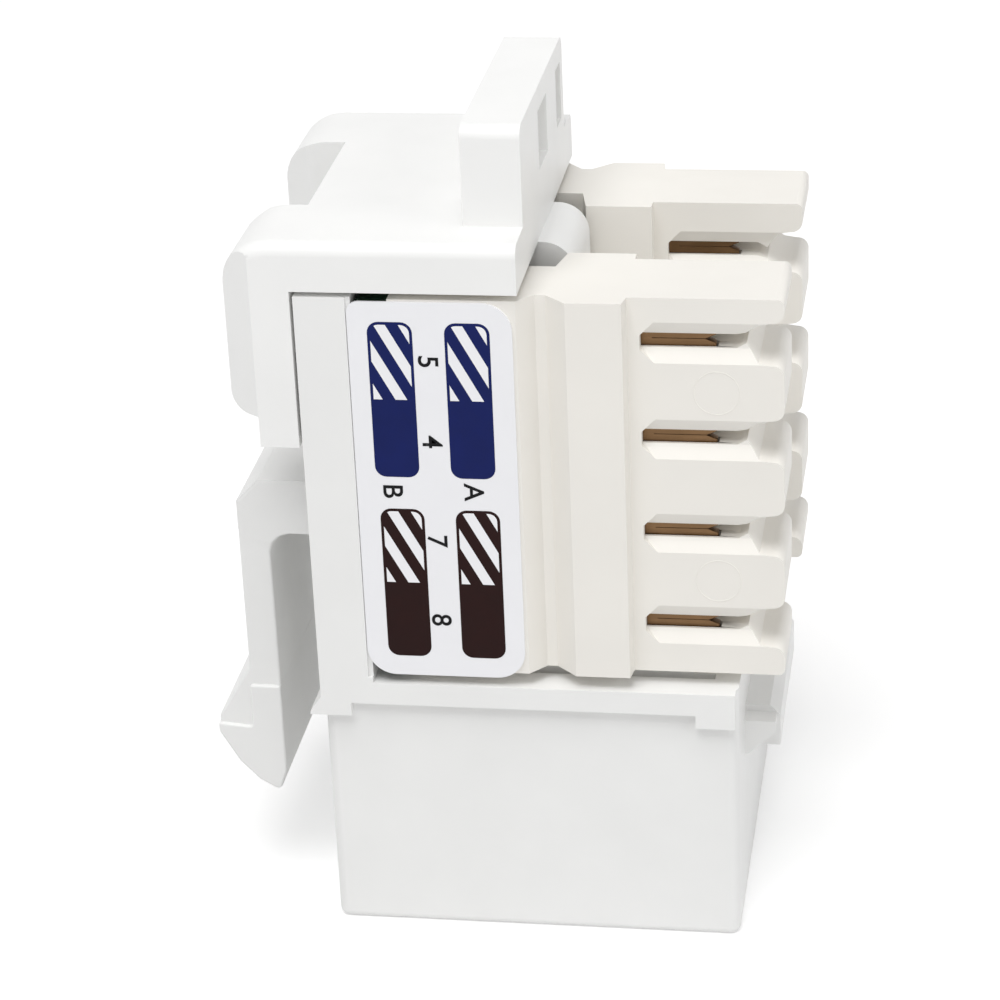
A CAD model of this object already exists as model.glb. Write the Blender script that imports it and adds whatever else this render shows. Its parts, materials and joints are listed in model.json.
# %% [markdown]
# # Dressing a keystone jack
# A keystone jack is the small socket that snaps into a wall plate and takes a network plug. Its pieces come
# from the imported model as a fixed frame. This lesson adds soft edges, printed labels, a latch that bends as
# one piece, and materials. The jack's sizes are in millimetres and become metres through MM. The table, its
# glow and the lamps are in metres.

# %% Load the frame
import json
import math

import bmesh
import bpy
from mathutils import Matrix, Vector


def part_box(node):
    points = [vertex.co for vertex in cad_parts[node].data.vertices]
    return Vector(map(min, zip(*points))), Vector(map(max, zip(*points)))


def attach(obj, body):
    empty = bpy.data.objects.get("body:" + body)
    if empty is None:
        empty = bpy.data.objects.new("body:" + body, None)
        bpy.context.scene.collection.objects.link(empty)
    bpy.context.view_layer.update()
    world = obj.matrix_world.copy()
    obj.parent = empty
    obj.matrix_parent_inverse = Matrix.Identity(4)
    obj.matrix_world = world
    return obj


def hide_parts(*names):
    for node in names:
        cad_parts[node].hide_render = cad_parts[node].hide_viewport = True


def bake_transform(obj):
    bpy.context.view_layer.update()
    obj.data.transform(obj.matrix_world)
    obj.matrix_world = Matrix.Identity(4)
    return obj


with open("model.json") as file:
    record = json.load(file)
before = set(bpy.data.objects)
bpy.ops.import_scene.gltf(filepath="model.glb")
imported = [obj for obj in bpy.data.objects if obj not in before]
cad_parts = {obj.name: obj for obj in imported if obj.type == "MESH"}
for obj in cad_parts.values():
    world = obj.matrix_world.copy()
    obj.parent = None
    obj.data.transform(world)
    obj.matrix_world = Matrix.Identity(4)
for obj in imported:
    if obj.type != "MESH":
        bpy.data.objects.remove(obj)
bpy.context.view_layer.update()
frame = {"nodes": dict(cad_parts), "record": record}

MM = 0.001

# %% [markdown]
# ## Camera
# The jack is small and was seen from near by with a long lens. The view is set by what the lens looks at, how
# far it is, its azimuth, its elevation and a slight roll, and the camera's matrix is worked out from those.

# %% Place the camera
VIEW_AZIMUTH = math.radians(9.648)
VIEW_ELEVATION = math.radians(24.993)
VIEW_ROLL = math.radians(-2.504)
VIEW_DISTANCE = 125.572 * MM
VIEW_AIM = Vector((-2.041, 0.005, 15.078)) * MM
LENS = 113.79


def camera_matrix(azimuth, elevation, roll, aim, distance):
    """A camera that looks at aim; azimuth 0 looks along +Y."""
    back = Vector((math.sin(azimuth) * math.cos(elevation),
                   -math.cos(azimuth) * math.cos(elevation), math.sin(elevation)))
    level = Vector((math.cos(azimuth), math.sin(azimuth), 0))
    right = Matrix.Rotation(roll, 3, back) @ level
    up = back.cross(right)
    matrix = Matrix((right, up, back)).transposed().to_4x4()
    matrix.translation = aim + back * distance
    return matrix


lens = bpy.data.cameras.new("view")
lens.lens = LENS
lens.sensor_width = 36
lens.clip_start = 1 * MM
camera = bpy.data.objects.new("view", lens)
camera.matrix_world = camera_matrix(VIEW_AZIMUTH, VIEW_ELEVATION, VIEW_ROLL, VIEW_AIM, VIEW_DISTANCE)
bpy.context.collection.objects.link(camera)
bpy.context.scene.camera = camera
print("camera at", [round(value / MM, 1) for value in camera.matrix_world.translation])

# %% [markdown]
# ## Node helpers
# Every material below is a small node tree. Four helpers keep them short. One adds a node and sets its
# inputs. One makes a noise that reads Object coordinates, so a pattern stays fixed to its piece. The other
# two stretch a noise to a range and start a material.

# %% Add nodes and noises
def add_node(tree, kind, inputs=None, **settings):
    node = tree.nodes.new(kind)
    for name, value in settings.items():
        setattr(node, name, value)
    for name, value in (inputs or {}).items():
        if isinstance(value, bpy.types.NodeSocket):
            tree.links.new(value, node.inputs[name])
        else:
            node.inputs[name].default_value = value
    return node


def object_noise(tree, size, detail=3.0):
    """Noise whose blobs are about size metres across."""
    place = add_node(tree, "ShaderNodeTexCoord")
    noise = add_node(tree, "ShaderNodeTexNoise", {"Vector": place.outputs["Object"], "Scale": 1 / size,
                                                  "Detail": detail})
    return noise.outputs["Fac"]


def spread(tree, factor, low, high):
    """The middle of a noise, stretched to run from low to high."""
    node = add_node(tree, "ShaderNodeMapRange", {"Value": factor, "From Min": 0.3, "From Max": 0.7,
                                                 "To Min": low, "To Max": high})
    return node.outputs["Result"]


def new_material(name):
    material = bpy.data.materials.new(name)
    material.use_nodes = True
    shader = material.node_tree.nodes["Principled BSDF"]
    return material, material.node_tree, shader


# %% [markdown]
# ## Moulded plastic
# The housing, cover and latch are white ABS and the wire blocks are a warmer ivory polycarbonate. Both come
# from tools with a very fine spark texture: nearly even in colour, a satin gloss that varies a little, and a
# shallow grain. Three noises give the three, and the colour shifts by three percent at most.

# %% Moulded plastic materials
def moulded_plastic(name, colour, roughness, shade=0.97, grain=0.04 * MM, relief=0.12):
    material, tree, shader = new_material(name)
    flow = object_noise(tree, 3.5 * MM)
    mix = add_node(tree, "ShaderNodeMix", {"Factor": spread(tree, flow, 0, 1)}, data_type="RGBA")
    mix.inputs["A"].default_value = (*(channel * shade for channel in colour), 1)
    mix.inputs["B"].default_value = (*colour, 1)
    tree.links.new(mix.outputs["Result"], shader.inputs["Base Color"])
    gloss = spread(tree, object_noise(tree, 0.8 * MM), roughness - 0.04, roughness + 0.05)
    tree.links.new(gloss, shader.inputs["Roughness"])
    bump = add_node(tree, "ShaderNodeBump", {"Height": object_noise(tree, grain), "Strength": relief,
                                             "Distance": 0.01 * MM})
    tree.links.new(bump.outputs["Normal"], shader.inputs["Normal"])
    shader.inputs["IOR"].default_value = 1.5
    return material


housing_white = moulded_plastic("housing_white", (0.855, 0.855, 0.845), 0.42)
cover_white = moulded_plastic("cover_white", (0.895, 0.895, 0.885), 0.40)
block_ivory = moulded_plastic("block_ivory", (0.86, 0.835, 0.785), 0.46)
carrier_white = moulded_plastic("carrier_white", (0.70, 0.69, 0.66), 0.55)
print("plastics:", housing_white.name, cover_white.name, block_ivory.name, carrier_white.name)

# %% [markdown]
# ## Metals
# The blades in the wire blocks are rolled phosphor bronze, and the wires in the port are gold plated. Rolled
# strip has faint streaks along its length, so the noise for its roughness is stretched: along X for the
# blades, and along Z for the wires.

# %% Metal materials
def rolled_metal(name, colour, roughness, streak_axis=(0.1, 1.0, 1.0)):
    material, tree, shader = new_material(name)
    place = add_node(tree, "ShaderNodeTexCoord")
    stretch = add_node(tree, "ShaderNodeMapping", {"Vector": place.outputs["Object"], "Scale": streak_axis})
    streaks = add_node(tree, "ShaderNodeTexNoise", {"Vector": stretch.outputs["Vector"], "Scale": 9000.0})
    gloss = spread(tree, streaks.outputs["Fac"], roughness - 0.08, roughness + 0.12)
    tree.links.new(gloss, shader.inputs["Roughness"])
    tint = add_node(tree, "ShaderNodeMix", {"Factor": spread(tree, object_noise(tree, 0.9 * MM), 0, 1)},
                    data_type="RGBA")
    tint.inputs["A"].default_value = (*(channel * 0.86 for channel in colour), 1)
    tint.inputs["B"].default_value = (*colour, 1)
    tree.links.new(tint.outputs["Result"], shader.inputs["Base Color"])
    shader.inputs["Metallic"].default_value = 1.0
    return material


contact_bronze = rolled_metal("contact_bronze", (0.20, 0.118, 0.06), 0.36)
wire_gold = rolled_metal("wire_gold", (0.86, 0.63, 0.28), 0.24, streak_axis=(1.0, 1.0, 0.1))
print("metals:", contact_bronze.name, wire_gold.name)

# %% [markdown]
# ## Circuit board and label stock
# The board is glass fibre under a dark green solder mask. The labels are a coated film, cooler in tone than
# the plastic. The ink is printed thin and shines less than the film, so that dark pads stay dark.

# %% Board, film and ink materials
def coated(name, colour, roughness, shade=0.9, patch=1.2 * MM, relief=0.05, gloss_level=0.5):
    material, tree, shader = new_material(name)
    mix = add_node(tree, "ShaderNodeMix", {"Factor": spread(tree, object_noise(tree, patch), 0, 1)},
                   data_type="RGBA")
    mix.inputs["A"].default_value = (*(channel * shade for channel in colour), 1)
    mix.inputs["B"].default_value = (*colour, 1)
    tree.links.new(mix.outputs["Result"], shader.inputs["Base Color"])
    shader.inputs["Specular IOR Level"].default_value = gloss_level
    gloss = spread(tree, object_noise(tree, 0.3 * MM), roughness - 0.03, roughness + 0.05)
    tree.links.new(gloss, shader.inputs["Roughness"])
    bump = add_node(tree, "ShaderNodeBump", {"Height": object_noise(tree, 0.06 * MM), "Strength": relief,
                                             "Distance": 0.01 * MM})
    tree.links.new(bump.outputs["Normal"], shader.inputs["Normal"])
    return material


board_green = coated("board_green", (0.018, 0.055, 0.030), 0.35, shade=0.7)
label_film = coated("label_film", (0.875, 0.876, 0.90), 0.38, shade=0.985)
INKS = {
    "blue": coated("ink_blue", (0.003, 0.010, 0.100), 0.36, shade=0.85, gloss_level=0.15),
    "brown": coated("ink_brown", (0.016, 0.0015, 0.001), 0.36, shade=0.8, gloss_level=0.15),
    "green": coated("ink_green", (0.004, 0.11, 0.025), 0.36, shade=0.85, gloss_level=0.15),
    "orange": coated("ink_orange", (0.55, 0.11, 0.006), 0.36, shade=0.9, gloss_level=0.15),
    "black": coated("ink_black", (0.004, 0.004, 0.005), 0.36, shade=0.8, gloss_level=0.15),
}
print("inks:", sorted(INKS))

# %% [markdown]
# ## Moulded edges
# No moulded edge is perfectly sharp: the tool leaves a radius of about a tenth of a millimetre, and that
# radius catches the light. A CAD node's own mesh stays as it is, so a copy is merged, its flat faces are
# joined, and a Bevel modifier is asked for that radius. The copy then stands for the node.
#
# Bevel's clamp holds all edges of a piece to what its shortest edges allow. The housing, the cover and the
# wire blocks have some very short edges, so only a few thousandths of a millimetre come out there, and the
# soft edges seen on them are the CAD model's own fillets. The blades below get about a quarter of their
# radius, and the latch about five sixths. With the clamp off the full radii come out, and then the narrow
# faces beside them would have to be looked at.

# %% Round the edges of a copy
HOUSING_EDGE = 0.11 * MM
COVER_EDGE = 0.13 * MM
MERGE_DISTANCE = 0.0005 * MM
FLAT_WITHIN = math.radians(0.5)


def new_piece(name, mesh, body, material=None):
    """A piece with the record's slot, which rides on a body where one is given."""
    piece = bpy.data.objects.new(name, mesh)
    bpy.context.collection.objects.link(piece)
    if material:
        mesh.materials.append(material)
    if body:
        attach(piece, body)
    return piece


def apply_modifiers(piece):
    """The piece with its modifiers turned into plain mesh."""
    graph = bpy.context.evaluated_depsgraph_get()
    mesh = bpy.data.meshes.new_from_object(piece.evaluated_get(graph))
    piece.modifiers.clear()
    piece.data = mesh


def round_edges(piece, radius, segments=2, angle=35):
    bevel = piece.modifiers.new("edges", "BEVEL")
    bevel.width = radius
    bevel.segments = segments
    bevel.limit_method = "ANGLE"
    bevel.angle_limit = math.radians(angle)
    bevel.miter_outer = "MITER_ARC"
    flat = piece.modifiers.new("normals", "WEIGHTED_NORMAL")
    flat.keep_sharp = True
    flat.weight = 100
    apply_modifiers(piece)


def merged_copy(node):
    mesh = frame["nodes"][node].data.copy()
    mesh.materials.clear()
    build = bmesh.new()
    build.from_mesh(mesh)
    bmesh.ops.remove_doubles(build, verts=build.verts, dist=MERGE_DISTANCE)
    bmesh.ops.dissolve_limit(build, angle_limit=FLAT_WITHIN, verts=build.verts, edges=build.edges)
    for face in build.faces:
        face.smooth = True
    build.to_mesh(mesh)
    build.free()
    return mesh


def softened(node, name, radius, material, body="jack"):
    piece = new_piece(name, merged_copy(node), None, material)
    round_edges(piece, radius)
    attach(piece, body)
    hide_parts(node)
    print(name, "has", len(piece.data.polygons), "faces")


softened("port_housing", "housing_moulding", HOUSING_EDGE, housing_white)
softened("rear_cover", "cover_moulding", COVER_EDGE, cover_white)

# %% [markdown]
# The wire blocks need two more touches. Each slot lies in a groove with sloping sides, and the CAD model
# closes that groove with an end square to the slot. On the moulding the end is cut back at 45 degrees. Each
# end face is split in line with the slot's sides, and then its two outer corners are moved along the slot.
# The pockets round the blades are also closed up to just past the tips of the tines.

# %% Find the ends of the slots
SLOT_START = 4.5 * MM
SLOT_HALF = 0.275 * MM
SLOPE_WIDTH = 0.52 * MM
NEAR = 0.001 * MM


def slot_ends(build):
    """The faces across the closed ends of the slots."""
    return [face for face in build.faces
            if all(abs(corner.co.x - SLOT_START) < NEAR for corner in face.verts)]


def split_across(build, height):
    """Cut the slots' end faces where they cross a height."""
    faces = slot_ends(build)
    edges = {edge for face in faces for edge in face.edges}
    corners = {corner for face in faces for corner in face.verts}
    bmesh.ops.bisect_plane(build, geom=[*corners, *edges, *faces], dist=NEAR, plane_co=(0, 0, height),
                           plane_no=(0, 0, 1))


# %% Close the pockets up to the blades
POCKET_END = 8.05 * MM
TINE_END = 7.24 * MM
TINE_CLEARANCE = 0.08 * MM


def close_pockets(mesh):
    """Move the end of every blade pocket to just past the blade's tips."""
    for corner in mesh.vertices:
        if abs(corner.co.x - POCKET_END) < NEAR:
            corner.co.x = TINE_END + TINE_CLEARANCE


# %% Cut back the ends of the grooves
def cut_back_grooves(mesh):
    build = bmesh.new()
    build.from_mesh(mesh)
    middles = {round(face.calc_center_bounds().z, 6) for face in slot_ends(build)}
    for middle in middles:
        split_across(build, middle - SLOT_HALF)
        split_across(build, middle + SLOT_HALF)
    moved = 0
    for corner in {corner for face in slot_ends(build) for corner in face.verts}:
        if min(abs(corner.co.z - middle) for middle in middles) > SLOT_HALF + NEAR:
            corner.co.x += SLOPE_WIDTH
            moved += 1
    build.to_mesh(mesh)
    build.free()
    return moved


# %% [markdown]
# On the moulding the long outer edges, and those round the two ends, are softer than the edges round the
# slots. They get a bevel weight, and a first bevel that asks for a larger radius works on weighted edges
# alone, before the usual bevel. The clamp described above holds both bevels back on these blocks.

# %% Round the outer edges more
OUTER_RADIUS = 0.15 * MM
LONG_EDGE = 10 * MM
SHARP_FROM = math.radians(30)


def weigh_outer_edges(mesh, low, high):
    """Mark the edges that run up a block and those round its two ends."""
    build = bmesh.new()
    build.from_mesh(mesh)
    weight = build.edges.layers.float.new("bevel_weight_edge")
    marked = 0
    for edge in build.edges:
        heights = [corner.co.z for corner in edge.verts]
        upright = abs(heights[0] - heights[1]) > LONG_EDGE
        at_end = all(min(height - low.z, high.z - height) < NEAR for height in heights)
        if (upright or at_end) and edge.calc_face_angle(0) > SHARP_FROM:
            edge[weight] = 1
            marked += 1
    build.to_mesh(mesh)
    build.free()
    return marked


def round_weighted(piece, radius):
    bevel = piece.modifiers.new("outer_edges", "BEVEL")
    bevel.width = radius
    bevel.segments = 4
    bevel.limit_method = "WEIGHT"
    apply_modifiers(piece)


# %% Make both wire blocks
BLOCK_EDGE = 0.07 * MM


def wire_block(node, name):
    piece = new_piece(name, merged_copy(node), None, block_ivory)
    close_pockets(piece.data)
    moved = cut_back_grooves(piece.data)
    low, high = (Vector(corner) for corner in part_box(node))
    marked = weigh_outer_edges(piece.data, low, high)
    round_weighted(piece, OUTER_RADIUS)
    round_edges(piece, BLOCK_EDGE, angle=30)
    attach(piece, "jack")
    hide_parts(node)
    print(name, "has", len(piece.data.polygons), "faces;", moved, "corners moved,", marked, "outer edges")


wire_block("idc_block_near", "wire_block_near")
wire_block("idc_block_far", "wire_block_far")

# %% [markdown]
# ## Pieces whose shape is right already
# The board, the carrier and the label films keep their CAD meshes and only get a material.

# %% Give the carried-over nodes their materials
def dress(node, material):
    mesh = frame["nodes"][node].data
    mesh.materials.clear()
    mesh.materials.append(material)


dress("circuit_board", board_green)
dress("contact_carrier", carrier_white)
for label in ("label_near", "label_far"):
    dress(label, label_film)
print("dressed the board, the carrier and both label films")

# %% [markdown]
# ## Repeated pieces
# Some shapes on the jack repeat: eight wires in the port, eight blades in the wire blocks, and the round
# marks that the mould's ejector pins leave. Copying them by hand would work, but a Geometry Nodes tree keeps
# one shape and the rule that places it, so a pitch or a count is changed in one place. The helpers below make
# a tree with named sizes and turn what it makes into a plain mesh.

# %% Helpers for Geometry Nodes
SOCKETS = {int: "NodeSocketInt", float: "NodeSocketFloat"}


def new_tree(name, sizes):
    """A tree that takes geometry and named sizes; its group input and output come with it."""
    tree = bpy.data.node_groups.new(name, "GeometryNodeTree")
    tree.interface.new_socket("Geometry", in_out="INPUT", socket_type="NodeSocketGeometry")
    for label, value in sizes.items():
        tree.interface.new_socket(label, in_out="INPUT", socket_type=SOCKETS[type(value)])
    tree.interface.new_socket("Geometry", in_out="OUTPUT", socket_type="NodeSocketGeometry")
    return tree, tree.nodes.new("NodeGroupInput").outputs, tree.nodes.new("NodeGroupOutput").inputs


def finish_tree(tree, instances, material, result):
    """Instances made real, with their material, as the tree's result."""
    real = add_node(tree, "GeometryNodeRealizeInstances", {"Geometry": instances.outputs[0]})
    painted = add_node(tree, "GeometryNodeSetMaterial", {"Geometry": real.outputs[0], "Material": material})
    tree.links.new(painted.outputs[0], result["Geometry"])


def run_tree(tree, mesh, sizes):
    """The plain mesh that a tree makes from a mesh and its sizes."""
    holder = bpy.data.objects.new(tree.name, mesh)
    bpy.context.collection.objects.link(holder)
    modifier = holder.modifiers.new("nodes", "NODES")
    modifier.node_group = tree
    for socket in tree.interface.items_tree:
        if socket.in_out == "INPUT" and socket.name in sizes:
            modifier[socket.identifier] = sizes[socket.name]
    graph = bpy.context.evaluated_depsgraph_get()
    result = bpy.data.meshes.new_from_object(holder.evaluated_get(graph))
    bpy.data.objects.remove(holder)
    result.polygons.foreach_set("use_smooth", [True] * len(result.polygons))
    result.set_sharp_from_angle(angle=math.radians(40))
    return result


def mesh_box(mesh):
    """The lowest and highest corner of a mesh in mm, for printing."""
    axes = list(zip(*(corner.co for corner in mesh.vertices)))
    return [[round(min(axis) / MM, 2) for axis in axes], [round(max(axis) / MM, 2) for axis in axes]]


# %% [markdown]
# The wires in the port are gold-plated springs. Each runs down the carrier, folds near the port face and
# rises at a slope, so that a plug presses it back. Three corner points give that path: Fillet Curve rounds
# the fold, and Curve to Mesh draws a section with small rounded edges along it. A Mesh Line places it eight
# times.

# %% Build the tree for the jack wires
WIRE_SIZES = {"Width": 0.46 * MM, "Thickness": 0.34 * MM, "Edge Radius": 0.09 * MM, "Fold Radius": 0.65 * MM,
              "Pitch": 1.016 * MM, "Count": 8}


def wire_tree():
    tree, given, result = new_tree("jack wires", WIRE_SIZES)
    path = add_node(tree, "GeometryNodeMeshToCurve", {"Mesh": given["Geometry"]})
    folded = add_node(tree, "GeometryNodeFilletCurve", {"Curve": path.outputs[0], "Count": 20,
                                                        "Radius": given["Fold Radius"]}, mode="POLY")
    flat = add_node(tree, "GeometryNodeCurvePrimitiveQuadrilateral", {"Width": given["Thickness"],
                                                                      "Height": given["Width"]})
    section = add_node(tree, "GeometryNodeFilletCurve", {"Curve": flat.outputs[0], "Count": 3,
                                                         "Radius": given["Edge Radius"]}, mode="POLY")
    wire = add_node(tree, "GeometryNodeCurveToMesh", {"Curve": folded.outputs[0],
                                                      "Profile Curve": section.outputs[0], "Fill Caps": True})
    step = add_node(tree, "ShaderNodeCombineXYZ", {"Y": given["Pitch"]})
    row = add_node(tree, "GeometryNodeMeshLine", {"Count": given["Count"], "Offset": step.outputs[0]})
    wires = add_node(tree, "GeometryNodeInstanceOnPoints", {"Points": row.outputs[0],
                                                            "Instance": wire.outputs[0]})
    finish_tree(tree, wires, wire_gold, result)
    return tree


# %% Place the eight jack wires
WIRE_X = -6.02 * MM
WIRE_TOP = 13.22 * MM
WIRE_SLOPE = math.radians(21)
WIRE_FREE = 7.6 * MM
FOLD_HEIGHT = 2.7 * MM

tangent = WIRE_SIZES["Fold Radius"] / math.tan(WIRE_SLOPE / 2)
first_wire = -WIRE_SIZES["Pitch"] * (WIRE_SIZES["Count"] - 1) / 2
fold = Vector((WIRE_X, first_wire, FOLD_HEIGHT - tangent))
free_end = fold + Vector((math.sin(WIRE_SLOPE), 0, math.cos(WIRE_SLOPE))) * (tangent + WIRE_FREE)
wire_path = bpy.data.meshes.new("wire_path")
wire_path.from_pydata([(WIRE_X, first_wire, WIRE_TOP), fold, free_end], [(0, 1), (1, 2)], [])
wires = new_piece("jack_wires", run_tree(wire_tree(), wire_path, WIRE_SIZES), "jack")
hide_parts(*(f"jack_contact_{number}" for number in range(1, 9)))
print("jack wires:", len(wires.data.polygons), "faces, box in mm", mesh_box(wires.data))

# %% [markdown]
# Each blade in a wire block is bent from bronze sheet: a stem from the board, a bridge, and two forked leaves
# that cut into the wire. In the first CAD blade the tines are brought nearly together, as they spring shut on
# the real one, its tips are drawn out to just short of the closed pocket's end, and its edges are rounded as
# far as the clamp lets them. The tree places it four times up the near block. The far block is the near one
# turned over, so its four blades are the same row turned half way round about X.

# %% Build the tree for the blades
BLADE_SIZES = {"Pitch": 3.81 * MM, "Count": 4, "Turn Height": 18.995 * MM}


def blade_tree():
    tree, given, result = new_tree("blades", BLADE_SIZES)
    step = add_node(tree, "ShaderNodeCombineXYZ", {"Z": given["Pitch"]})
    row = add_node(tree, "GeometryNodeMeshLine", {"Count": given["Count"], "Offset": step.outputs[0]})
    near = add_node(tree, "GeometryNodeInstanceOnPoints", {"Points": row.outputs[0],
                                                           "Instance": given["Geometry"]})
    double = add_node(tree, "ShaderNodeMath", {0: given["Turn Height"], 1: 2.0}, operation="MULTIPLY")
    lift = add_node(tree, "ShaderNodeCombineXYZ", {"Z": double.outputs[0]})
    far = add_node(tree, "GeometryNodeTransform", {
        "Geometry": near.outputs[0], "Translation": lift.outputs[0], "Rotation": (math.pi, 0, 0)})
    both = add_node(tree, "GeometryNodeJoinGeometry")
    tree.links.new(near.outputs[0], both.inputs[0])
    tree.links.new(far.outputs[0], both.inputs[0])
    finish_tree(tree, both, contact_bronze, result)
    return tree


# %% Place the eight blades
HALF_CUT = 0.03 * MM
CUT_CLOSED = 0.7
BLADE_EDGE = 0.035 * MM

one_blade = bpy.data.objects.new("blade", merged_copy("idc_contact_1"))
bpy.context.collection.objects.link(one_blade)
blade_low, blade_high = (Vector(corner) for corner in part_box("idc_contact_1"))
blade_middle = (blade_low.z + blade_high.z) / 2
for corner in one_blade.data.vertices:
    if abs(corner.co.x - blade_high.x) < NEAR:
        corner.co.x = TINE_END
    if abs(corner.co.z - blade_middle) < HALF_CUT + NEAR:
        corner.co.z += (blade_middle - corner.co.z) * CUT_CLOSED
round_edges(one_blade, BLADE_EDGE)
blade_mesh = one_blade.data
bpy.data.objects.remove(one_blade)
blades = new_piece("blades", run_tree(blade_tree(), blade_mesh, BLADE_SIZES), "jack")
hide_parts(*(f"idc_contact_{number}" for number in range(1, 9)))
print("blades:", len(blades.data.polygons), "faces, box in mm", mesh_box(blades.data))

# %% [markdown]
# When the mould opens, ejector pins push the part out, and each leaves a faint round line where the pin met
# the plastic. Here the line is a thin ring, half sunk in the face, which catches the light as the real one
# does. The object's mesh gives the places, and the tree stands a ring on each.

# %% Build the tree for the ejector marks
MARK_SIZES = {"Mark Radius": 0.84 * MM, "Line Radius": 0.014 * MM}


def mark_tree(name, material, turn):
    tree, given, result = new_tree(name, MARK_SIZES)
    ring = add_node(tree, "GeometryNodeCurvePrimitiveCircle", {"Resolution": 48,
                                                               "Radius": given["Mark Radius"]})
    line = add_node(tree, "GeometryNodeCurvePrimitiveCircle", {"Resolution": 6,
                                                               "Radius": given["Line Radius"]})
    mark = add_node(tree, "GeometryNodeCurveToMesh", {"Curve": ring.outputs[0],
                                                      "Profile Curve": line.outputs[0]})
    marks = add_node(tree, "GeometryNodeInstanceOnPoints", {
        "Points": given["Geometry"], "Instance": mark.outputs[0], "Rotation": turn})
    finish_tree(tree, marks, material, result)
    return tree


# %% Mark the fingers
MARK_X = 7.28
TOWER_FACE = 7.0
MARK_HEIGHTS = (15.3, 22.9)


def places_mesh(name, places):
    """A mesh of loose points, given in mm."""
    mesh = bpy.data.meshes.new(name)
    mesh.from_pydata([Vector(place) * MM for place in places], [], [])
    return mesh


turned_over = 2 * BLADE_SIZES["Turn Height"] / MM
finger_places = [(MARK_X, -TOWER_FACE, height) for height in MARK_HEIGHTS]
finger_places += [(MARK_X, TOWER_FACE, turned_over - height) for height in MARK_HEIGHTS]
marks = run_tree(mark_tree("finger marks", block_ivory, (math.pi / 2, 0, 0)),
                 places_mesh("finger_places", finger_places), MARK_SIZES)
new_piece("finger_marks", marks, "jack")
print("ejector marks:", len(finger_places), "rings,", len(marks.polygons), "faces")

# %% [markdown]
# ## Label print
# Each label has four colour pads, one for each pair under wiring A and B, and a figure for each contact. The
# upper half of a pad is striped, for the white-striped wire of the pair. A pad is one flat rounded sheet of
# ink. A slightly smaller sheet just above it is cut along the edges of the stripes, and only the stripes are
# kept, in the film's white. That keeps the print crisp from any distance, where a picture would blur.

# %% Draw one pad
PAD_CORNER = 0.43 * MM
PAD_BORDER = 0.11 * MM
STRIPE_PITCH = 0.92 * MM
STRIPE_SHARE = 0.48
STRIPE_PHASE = 0.20
STRIPE_LEAN = math.radians(28.5)
STRIPED_SHARE = 0.495
INK_HEIGHT = 0.006 * MM


def rounded_outline(low, high, radius, steps=6):
    """Corner points of a rounded rectangle in X and Z, counter-clockwise."""
    points = []
    corners = (((high[0], high[1]), 0), ((low[0], high[1]), 90),
               ((low[0], low[1]), 180), ((high[0], low[1]), 270))
    for (x, z), start in corners:
        middle_x = x - radius if x == high[0] else x + radius
        middle_z = z - radius if z == high[1] else z + radius
        for step in range(steps + 1):
            turn = math.radians(start + 90 * step / steps)
            points.append((middle_x + radius * math.cos(turn), middle_z + radius * math.sin(turn)))
    return points


def cut_all(build, point, normal):
    bmesh.ops.bisect_plane(build, geom=build.verts[:] + build.edges[:] + build.faces[:], dist=1e-9,
                           plane_co=point, plane_no=normal)


def add_outline(build, points, height):
    build.faces.new([build.verts.new((x, height, z)) for x, z in points])


def draw_stripes(low, high, height):
    """The white stripes of one pad: a rounded sheet cut along both edges of every stripe."""
    stripes = bmesh.new()
    inside_low = (low[0] + PAD_BORDER, low[1] + PAD_BORDER)
    inside_high = (high[0] - PAD_BORDER, high[1] - PAD_BORDER)
    add_outline(stripes, rounded_outline(inside_low, inside_high, PAD_CORNER - PAD_BORDER), height)
    split = high[1] - STRIPED_SHARE * (high[1] - low[1])
    cut_all(stripes, (0, 0, split), (0, 0, 1))
    across = Vector((math.cos(STRIPE_LEAN), 0, math.sin(STRIPE_LEAN)))
    start = Vector((low[0], 0, high[1]))
    step = STRIPE_PITCH * math.cos(STRIPE_LEAN)
    for count in range(-5, 5):
        for edge in (STRIPE_PHASE, STRIPE_PHASE + STRIPE_SHARE):
            cut_all(stripes, start + across * step * (count + edge), across)
    unwanted = []
    for face in stripes.faces:
        middle = face.calc_center_median()
        share = ((middle - start).dot(across) / step) % 1.0
        if middle.z < split or not STRIPE_PHASE < share < STRIPE_PHASE + STRIPE_SHARE:
            unwanted.append(face)
    bmesh.ops.delete(stripes, geom=unwanted, context="FACES")
    return stripes


def draw_pad(build, low, high, ink_slot):
    """One pad of ink with its stripes just above it, added to build; the stripes take material slot 0."""
    pad = bmesh.new()
    add_outline(pad, rounded_outline(low, high, PAD_CORNER), FILM_FACE - INK_HEIGHT)
    pad.faces.ensure_lookup_table()
    pad.faces[0].material_index = ink_slot
    for layer in (pad, draw_stripes(low, high, FILM_FACE - 2 * INK_HEIGHT)):
        mesh = bpy.data.meshes.new("pad")
        layer.to_mesh(mesh)
        build.from_mesh(mesh)
        layer.free()


# %% [markdown]
# The four pads of a label stand in two columns. The near label has the blue pair over the brown pair in both
# columns. On the far label the orange and green pairs change places between the columns, as wiring A and B
# differ only in those two. The far label is the near one turned over about X, as its film is.

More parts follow.
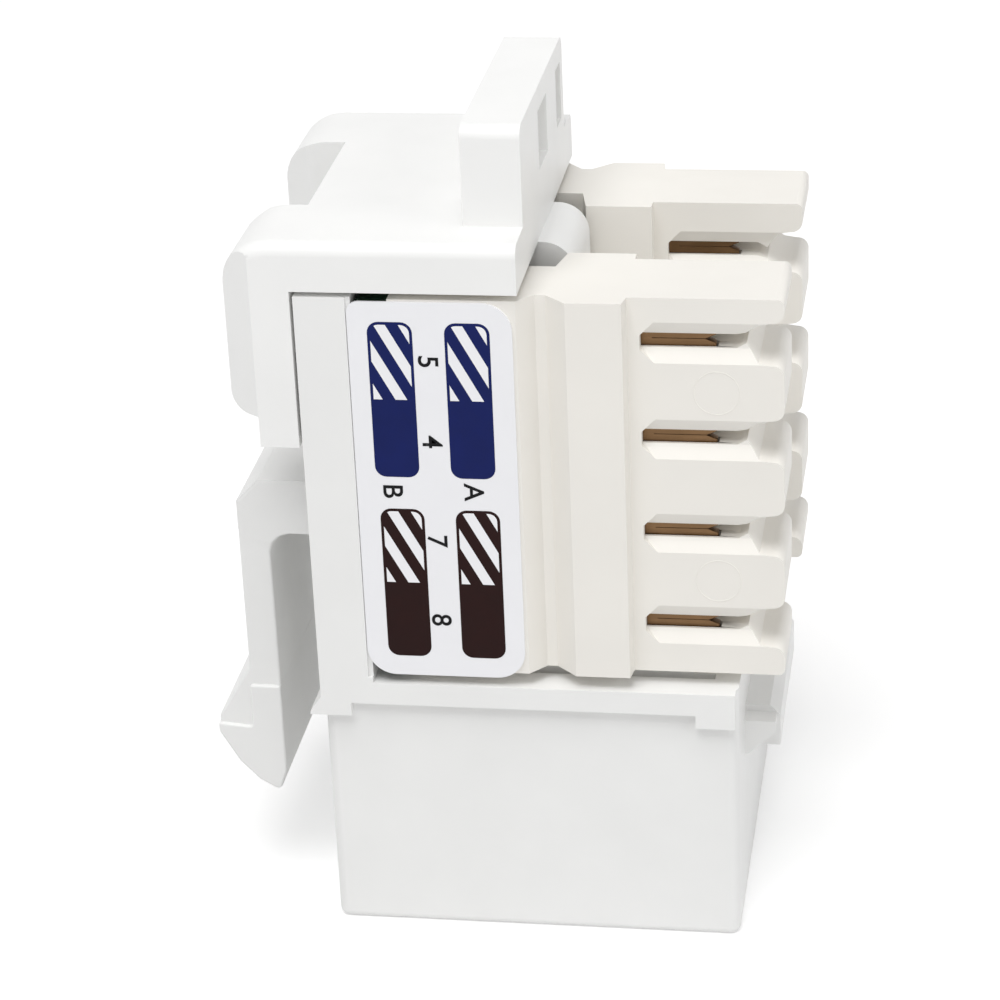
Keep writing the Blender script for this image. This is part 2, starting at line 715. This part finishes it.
# %% Lay out the pads of both labels
film_low, film_high = (Vector(corner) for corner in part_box("label_near"))
FILM_FACE = film_low.y
PAD_WIDTH = 1.67 * MM
PAD_HEIGHT = 6.18 * MM
COLUMN_B = film_low.x + 0.73 * MM
COLUMN_A = film_low.x + 3.58 * MM
LOWER_SHIFT = 0.09 * MM
UPPER_ROW = film_high.z - 0.77 * MM - PAD_HEIGHT
LOWER_ROW = UPPER_ROW - 7.48 * MM
turn_middle = (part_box("label_near")[0][2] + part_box("label_far")[1][2]) / 2
turn_over = Matrix.Translation((0, 0, 2 * turn_middle)) @ Matrix.Rotation(math.pi, 4, "X")


def print_pads(name, colours, place):
    """colours runs upper B, upper A, lower B, lower A."""
    build = bmesh.new()
    inks = sorted(set(colours))
    corners = ((COLUMN_B, UPPER_ROW), (COLUMN_A, UPPER_ROW),
               (COLUMN_B + LOWER_SHIFT, LOWER_ROW), (COLUMN_A + LOWER_SHIFT, LOWER_ROW))
    for colour, (x, z) in zip(colours, corners):
        draw_pad(build, (x, z), (x + PAD_WIDTH, z + PAD_HEIGHT), inks.index(colour) + 1)
    build.transform(place)
    mesh = bpy.data.meshes.new(name)
    build.to_mesh(mesh)
    build.free()
    new_piece(name, mesh, "jack", label_film)
    for colour in inks:
        mesh.materials.append(INKS[colour])
    print(name, "has", len(mesh.polygons), "faces")


print_pads("pads_near", ("blue", "blue", "brown", "brown"), Matrix())
print_pads("pads_far", ("orange", "green", "green", "orange"), turn_over)

# %% [markdown]
# The figures are plain type, turned a quarter so that their tops point to the tips of the wire blocks. A text
# object gives the outline of each figure, and its mesh is moved into the plane of the print.

# %% Print the figures
FIGURE_SIZE = 1.06 * MM
FIGURE_WEIGHT = 0.010 * MM
FIGURES_NEAR = (("5", 2.90, 2.30), ("4", 2.90, 5.50), ("B", 1.32, 7.53), ("A", 4.37, 7.50), ("7", 2.90, 9.54),
                ("8", 2.90, 12.86))
FIGURES_FAR = (("1", 2.90, 2.30), ("2", 2.90, 5.50), ("B", 1.32, 7.53), ("A", 4.37, 7.50), ("3", 2.90, 9.54),
               ("6", 2.90, 12.86))


def figure_mesh(words):
    curve = bpy.data.curves.new("figure", "FONT")
    curve.body = words
    curve.size = FIGURE_SIZE
    curve.offset = FIGURE_WEIGHT
    curve.align_x = "CENTER"
    curve.align_y = "CENTER"
    holder = bpy.data.objects.new("figure", curve)
    bpy.context.collection.objects.link(holder)
    graph = bpy.context.evaluated_depsgraph_get()
    mesh = bpy.data.meshes.new_from_object(holder.evaluated_get(graph))
    bpy.data.objects.remove(holder)
    return mesh


def print_figures(name, figures, place):
    """Each figure's middle is given from the film's upper corner on the latch side, in mm."""
    build = bmesh.new()
    quarter = Matrix(((0, 1, 0), (0, 0, -1), (-1, 0, 0))).to_4x4()
    for words, right, down in figures:
        mesh = figure_mesh(words)
        where = Vector((film_low.x + right * MM, FILM_FACE - 1.5 * INK_HEIGHT, film_high.z - down * MM))
        mesh.transform(Matrix.Translation(where) @ quarter)
        build.from_mesh(mesh)
    build.transform(place)
    mesh = bpy.data.meshes.new(name)
    build.to_mesh(mesh)
    build.free()
    print(name, "has", len(mesh.polygons), "faces")
    new_piece(name, mesh, "jack", INKS["black"])


print_figures("figures_near", FIGURES_NEAR, Matrix())
print_figures("figures_far", FIGURES_FAR, turn_over)

# %% [markdown]
# ## The latch
# Root, arm and hook are one moulding, and the arm bends where it meets the root. The piece is made as a row
# of stations from the wall to the end of the hook: each has a point on the inner and the outer face. The
# stations round the fillet below the root lie where the blend acts, so the bend is a curve when the joint
# turns. The hook's heights are chosen here, and stand up to 0.43 mm lower than those of the CAD arm. The
# root's underside follows the joint's height, and stands 0.10 mm lower than the CAD root's.

# %% Build the latch from its stations
arm_low, arm_high = (Vector(corner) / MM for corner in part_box("latch_arm"))
latch_joint = next(joint for joint in frame["record"]["behaviour"]["joints"] if joint["name"] == "latch_flex")
flex_x, flex_z = latch_joint["pos_m"][0] / MM, latch_joint["pos_m"][2] / MM
SKIN = 0.012
HALF_THICKNESS = arm_high.x - flex_x
WALL_FACE = -8.05
ROOT_SINK = 0.3
FLEX_CLEARANCE = 0.03
ROOT_BOTTOM = flex_z + FLEX_CLEARANCE
ROOT_RADIUS = 0.8
ROOT_TOP = 17.9
ROOT_CHAMFER = 0.9
HOOK_START = 9.72
CHEEK_START = 8.99
HOOK_CATCH = 7.18
CHEEK = 0.15
ARM_STEPS = 13


def latch_stations():
    """(inner x, inner z, outer x, outer z, half width) from the wall to the end of the hook, in mm."""
    outer, inner = flex_x - HALF_THICKNESS - SKIN, arm_high.x + SKIN
    half = (arm_high.y - arm_low.y) / 2 - CHEEK + SKIN
    stations = []
    for share in (0, 0.35, 0.7):
        x = WALL_FACE + ROOT_SINK + share * (inner + ROOT_RADIUS - WALL_FACE - ROOT_SINK)
        stations.append((x, ROOT_BOTTOM - SKIN, x - 0.35 * share, ROOT_TOP + SKIN, half))
    turns = ((0, outer + ROOT_CHAMFER, ROOT_TOP + SKIN), (30, outer + 0.01, ROOT_TOP - ROOT_CHAMFER),
             (60, outer, ROOT_BOTTOM - 0.12), (90, outer, ROOT_BOTTOM - 0.50))
    for degrees, outer_x, outer_z in turns:
        turn = math.radians(degrees)
        stations.append((inner + ROOT_RADIUS * (1 - math.sin(turn)),
                         ROOT_BOTTOM - ROOT_RADIUS * (1 - math.cos(turn)), outer_x, outer_z, half))
    for step in range(1, ARM_STEPS + 1):
        z = ROOT_BOTTOM - ROOT_RADIUS - (ROOT_BOTTOM - ROOT_RADIUS - HOOK_START) * step / ARM_STEPS
        stations.append((inner, z, outer, z, half))
    stations.append((inner, 8.5, (outer + arm_low.x) / 2, 8.63, half))
    return stations + [(*station, half) for station in hook_end(inner)]


def hook_end(inner):
    """The catching crest and the rounded end below it, as (inner x, inner z, outer x, outer z)."""
    crest, tip = arm_low.x - SKIN, arm_low.z - SKIN
    return [(inner, 7.2, crest + 0.05, 7.55), (inner, 6.6, crest, 6.85), (inner, 5.6, -12.2, 5.52),
            (inner, 5.15, -11.45, 4.72), (-10.60, tip + 0.03, -10.80, tip)]


def cheek_outline():
    """Side of the hook's thicker part: a step below the arm, then a shelf out to the crest, (x, z) in mm."""
    outer, inner = flex_x - HALF_THICKNESS - SKIN, arm_high.x + SKIN
    shelf = [(inner, CHEEK_START), (outer, CHEEK_START), (outer - 0.03, HOOK_CATCH - 0.06),
             (arm_low.x - SKIN, HOOK_CATCH + 0.06)]
    ends = hook_end(inner)[1:]
    return shelf + [(x, z) for _, _, x, z in ends] + [(x, z) for x, z, _, _ in reversed(ends)]


def grown(outline, amount):
    """A counter-clockwise outline with every side moved outwards."""
    corners = [Vector(corner) for corner in outline]
    ways = [(after - corner).normalized() for corner, after in zip(corners, corners[1:] + corners[:1])]
    outward = [Vector((way.y, -way.x)) for way in ways]
    return [corner + (first + second) * amount / (1 + first.dot(second))
            for corner, first, second in zip(corners, outward[-1:] + outward[:-1], outward)]


def strip_solid(name, stations):
    """A solid between the inner and outer points of every station."""
    build = bmesh.new()
    rings = []
    for inner_x, inner_z, outer_x, outer_z, half in stations:
        corners = ((inner_x, -half, inner_z), (outer_x, -half, outer_z),
                   (outer_x, half, outer_z), (inner_x, half, inner_z))
        rings.append([build.verts.new(Vector(corner) * MM) for corner in corners])
    for first, second in zip(rings, rings[1:]):
        for side in range(4):
            build.faces.new((first[side], first[(side + 1) % 4], second[(side + 1) % 4], second[side]))
    build.faces.new(rings[0])
    build.faces.new(rings[-1][::-1])
    bmesh.ops.recalc_face_normals(build, faces=build.faces)
    for face in build.faces:
        face.smooth = True
    mesh = bpy.data.meshes.new(name)
    build.to_mesh(mesh)
    build.free()
    return mesh


def add_cheeks(mesh, outline, half):
    """The thicker part of the hook, a prism through the strip, joined to its mesh."""
    build = bmesh.new()
    build.from_mesh(mesh)
    sides = [[build.verts.new(Vector((x, y, z)) * MM) for x, z in outline] for y in (-half, half)]
    new_faces = [build.faces.new(sides[0]), build.faces.new(sides[1][::-1])]
    for item in range(len(outline)):
        after = (item + 1) % len(outline)
        new_faces.append(build.faces.new((sides[0][after], sides[0][item], sides[1][item], sides[1][after])))
    bmesh.ops.recalc_face_normals(build, faces=new_faces)
    for face in new_faces:
        face.smooth = True
    build.to_mesh(mesh)
    build.free()


LATCH_EDGE = 0.12 * MM

latch_mesh = strip_solid("latch_moulding", latch_stations())
add_cheeks(latch_mesh, grown(cheek_outline(), SKIN), (arm_high.y - arm_low.y) / 2 + SKIN)
latch = new_piece("latch_moulding", latch_mesh, None, housing_white)
round_edges(latch, LATCH_EDGE, segments=3, angle=25)
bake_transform(latch)
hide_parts("latch_arm")
print("latch has", len(latch.data.polygons), "faces")

# %% [markdown]
# ## Floor and light
# The jack stands on a plain pale table under soft studio light: one large soft lamp high on the near left
# side, a weak one from the right, and an even room light. The table and the room are drawn lighter for the
# camera and in reflections alone, so the background is white while the shadow stays. The table's glow rises
# with distance from the jack, because the lamps light the table less there.

# %% Floor
FLOOR_SIZE = 4.0
FLOOR_LEVEL = -0.01 * MM
GLOW_STARTS, GLOW_FULL = 0.15, 0.60
GLOW_NEAR, GLOW_FAR = 0.36, 0.66


def seen_or_mirrored(tree):
    """1 for what the camera sees, straight or in a glossy surface, and 0 for light on the object."""
    path = add_node(tree, "ShaderNodeLightPath")
    either = add_node(tree, "ShaderNodeMath", {0: path.outputs["Is Camera Ray"],
                                               1: path.outputs["Is Glossy Ray"]}, operation="MAXIMUM")
    return either.outputs[0]


def floor_material():
    material, tree, shader = new_material("table")
    shader.inputs["Base Color"].default_value = (0.78, 0.78, 0.78, 1)
    shader.inputs["Roughness"].default_value = 0.9
    shader.inputs["Specular IOR Level"].default_value = 0.1
    place = add_node(tree, "ShaderNodeTexCoord")
    distance = add_node(tree, "ShaderNodeVectorMath", {0: place.outputs["Object"]}, operation="LENGTH")
    rise = add_node(tree, "ShaderNodeMapRange", {
        "Value": distance.outputs["Value"], "From Min": GLOW_STARTS, "From Max": GLOW_FULL,
        "To Min": GLOW_NEAR, "To Max": GLOW_FAR})
    glow = add_node(tree, "ShaderNodeEmission", {"Color": (1, 1, 1, 1), "Strength": rise.outputs["Result"]})
    dark = add_node(tree, "ShaderNodeEmission", {"Color": (0, 0, 0, 1), "Strength": 0.0})
    seen = add_node(tree, "ShaderNodeMixShader", {0: seen_or_mirrored(tree), 1: dark.outputs[0],
                                                  2: glow.outputs[0]})
    total = add_node(tree, "ShaderNodeAddShader", {0: shader.outputs[0], 1: seen.outputs[0]})
    tree.links.new(total.outputs[0], tree.nodes["Material Output"].inputs["Surface"])
    return material


floor_mesh = bpy.data.meshes.new("table")
half_floor = FLOOR_SIZE / 2
floor_corners = [(-half_floor, -half_floor, FLOOR_LEVEL), (half_floor, -half_floor, FLOOR_LEVEL),
                 (half_floor, half_floor, FLOOR_LEVEL), (-half_floor, half_floor, FLOOR_LEVEL)]
floor_mesh.from_pydata(floor_corners, [], [(0, 1, 2, 3)])
floor_mesh.materials.append(floor_material())
table = bpy.data.objects.new("table", floor_mesh)
bpy.context.collection.objects.link(table)
print("table", FLOOR_SIZE, "m wide")

# %% Lamps and room light
JACK_MIDDLE = Vector((0, 0, 15 * MM))
ROOM_LIGHT = 0.455


def soft_lamp(name, place, size, watts):
    """A square lamp that faces the middle of the jack."""
    data = bpy.data.lights.new(name, "AREA")
    data.size = size
    data.energy = watts
    lamp = bpy.data.objects.new(name, data)
    lamp.location = place
    aim = JACK_MIDDLE - Vector(place)
    lamp.rotation_euler = aim.to_track_quat("-Z", "Y").to_euler()
    bpy.context.collection.objects.link(lamp)
    return lamp


key_lamp = soft_lamp("key_lamp", (-0.05, -0.21, 0.48), 0.30, 1.66)
fill_lamp = soft_lamp("fill_lamp", (0.42, -0.20, 0.25), 0.30, 0.46)

world = bpy.data.worlds.new("room")
world.use_nodes = True
room = world.node_tree
strength = add_node(room, "ShaderNodeMapRange", {"Value": seen_or_mirrored(room), "To Min": ROOM_LIGHT,
                                                 "To Max": 1.0})
room.nodes["Background"].inputs["Color"].default_value = (1, 1, 1, 1)
room.links.new(strength.outputs["Result"], room.nodes["Background"].inputs["Strength"])
bpy.context.scene.world = world
bpy.context.scene.cycles.max_bounces = 24
bpy.context.scene.cycles.diffuse_bounces = 12
bpy.context.scene.view_settings.view_transform = "Standard"
print("lamps:", key_lamp.data.energy, fill_lamp.data.energy)
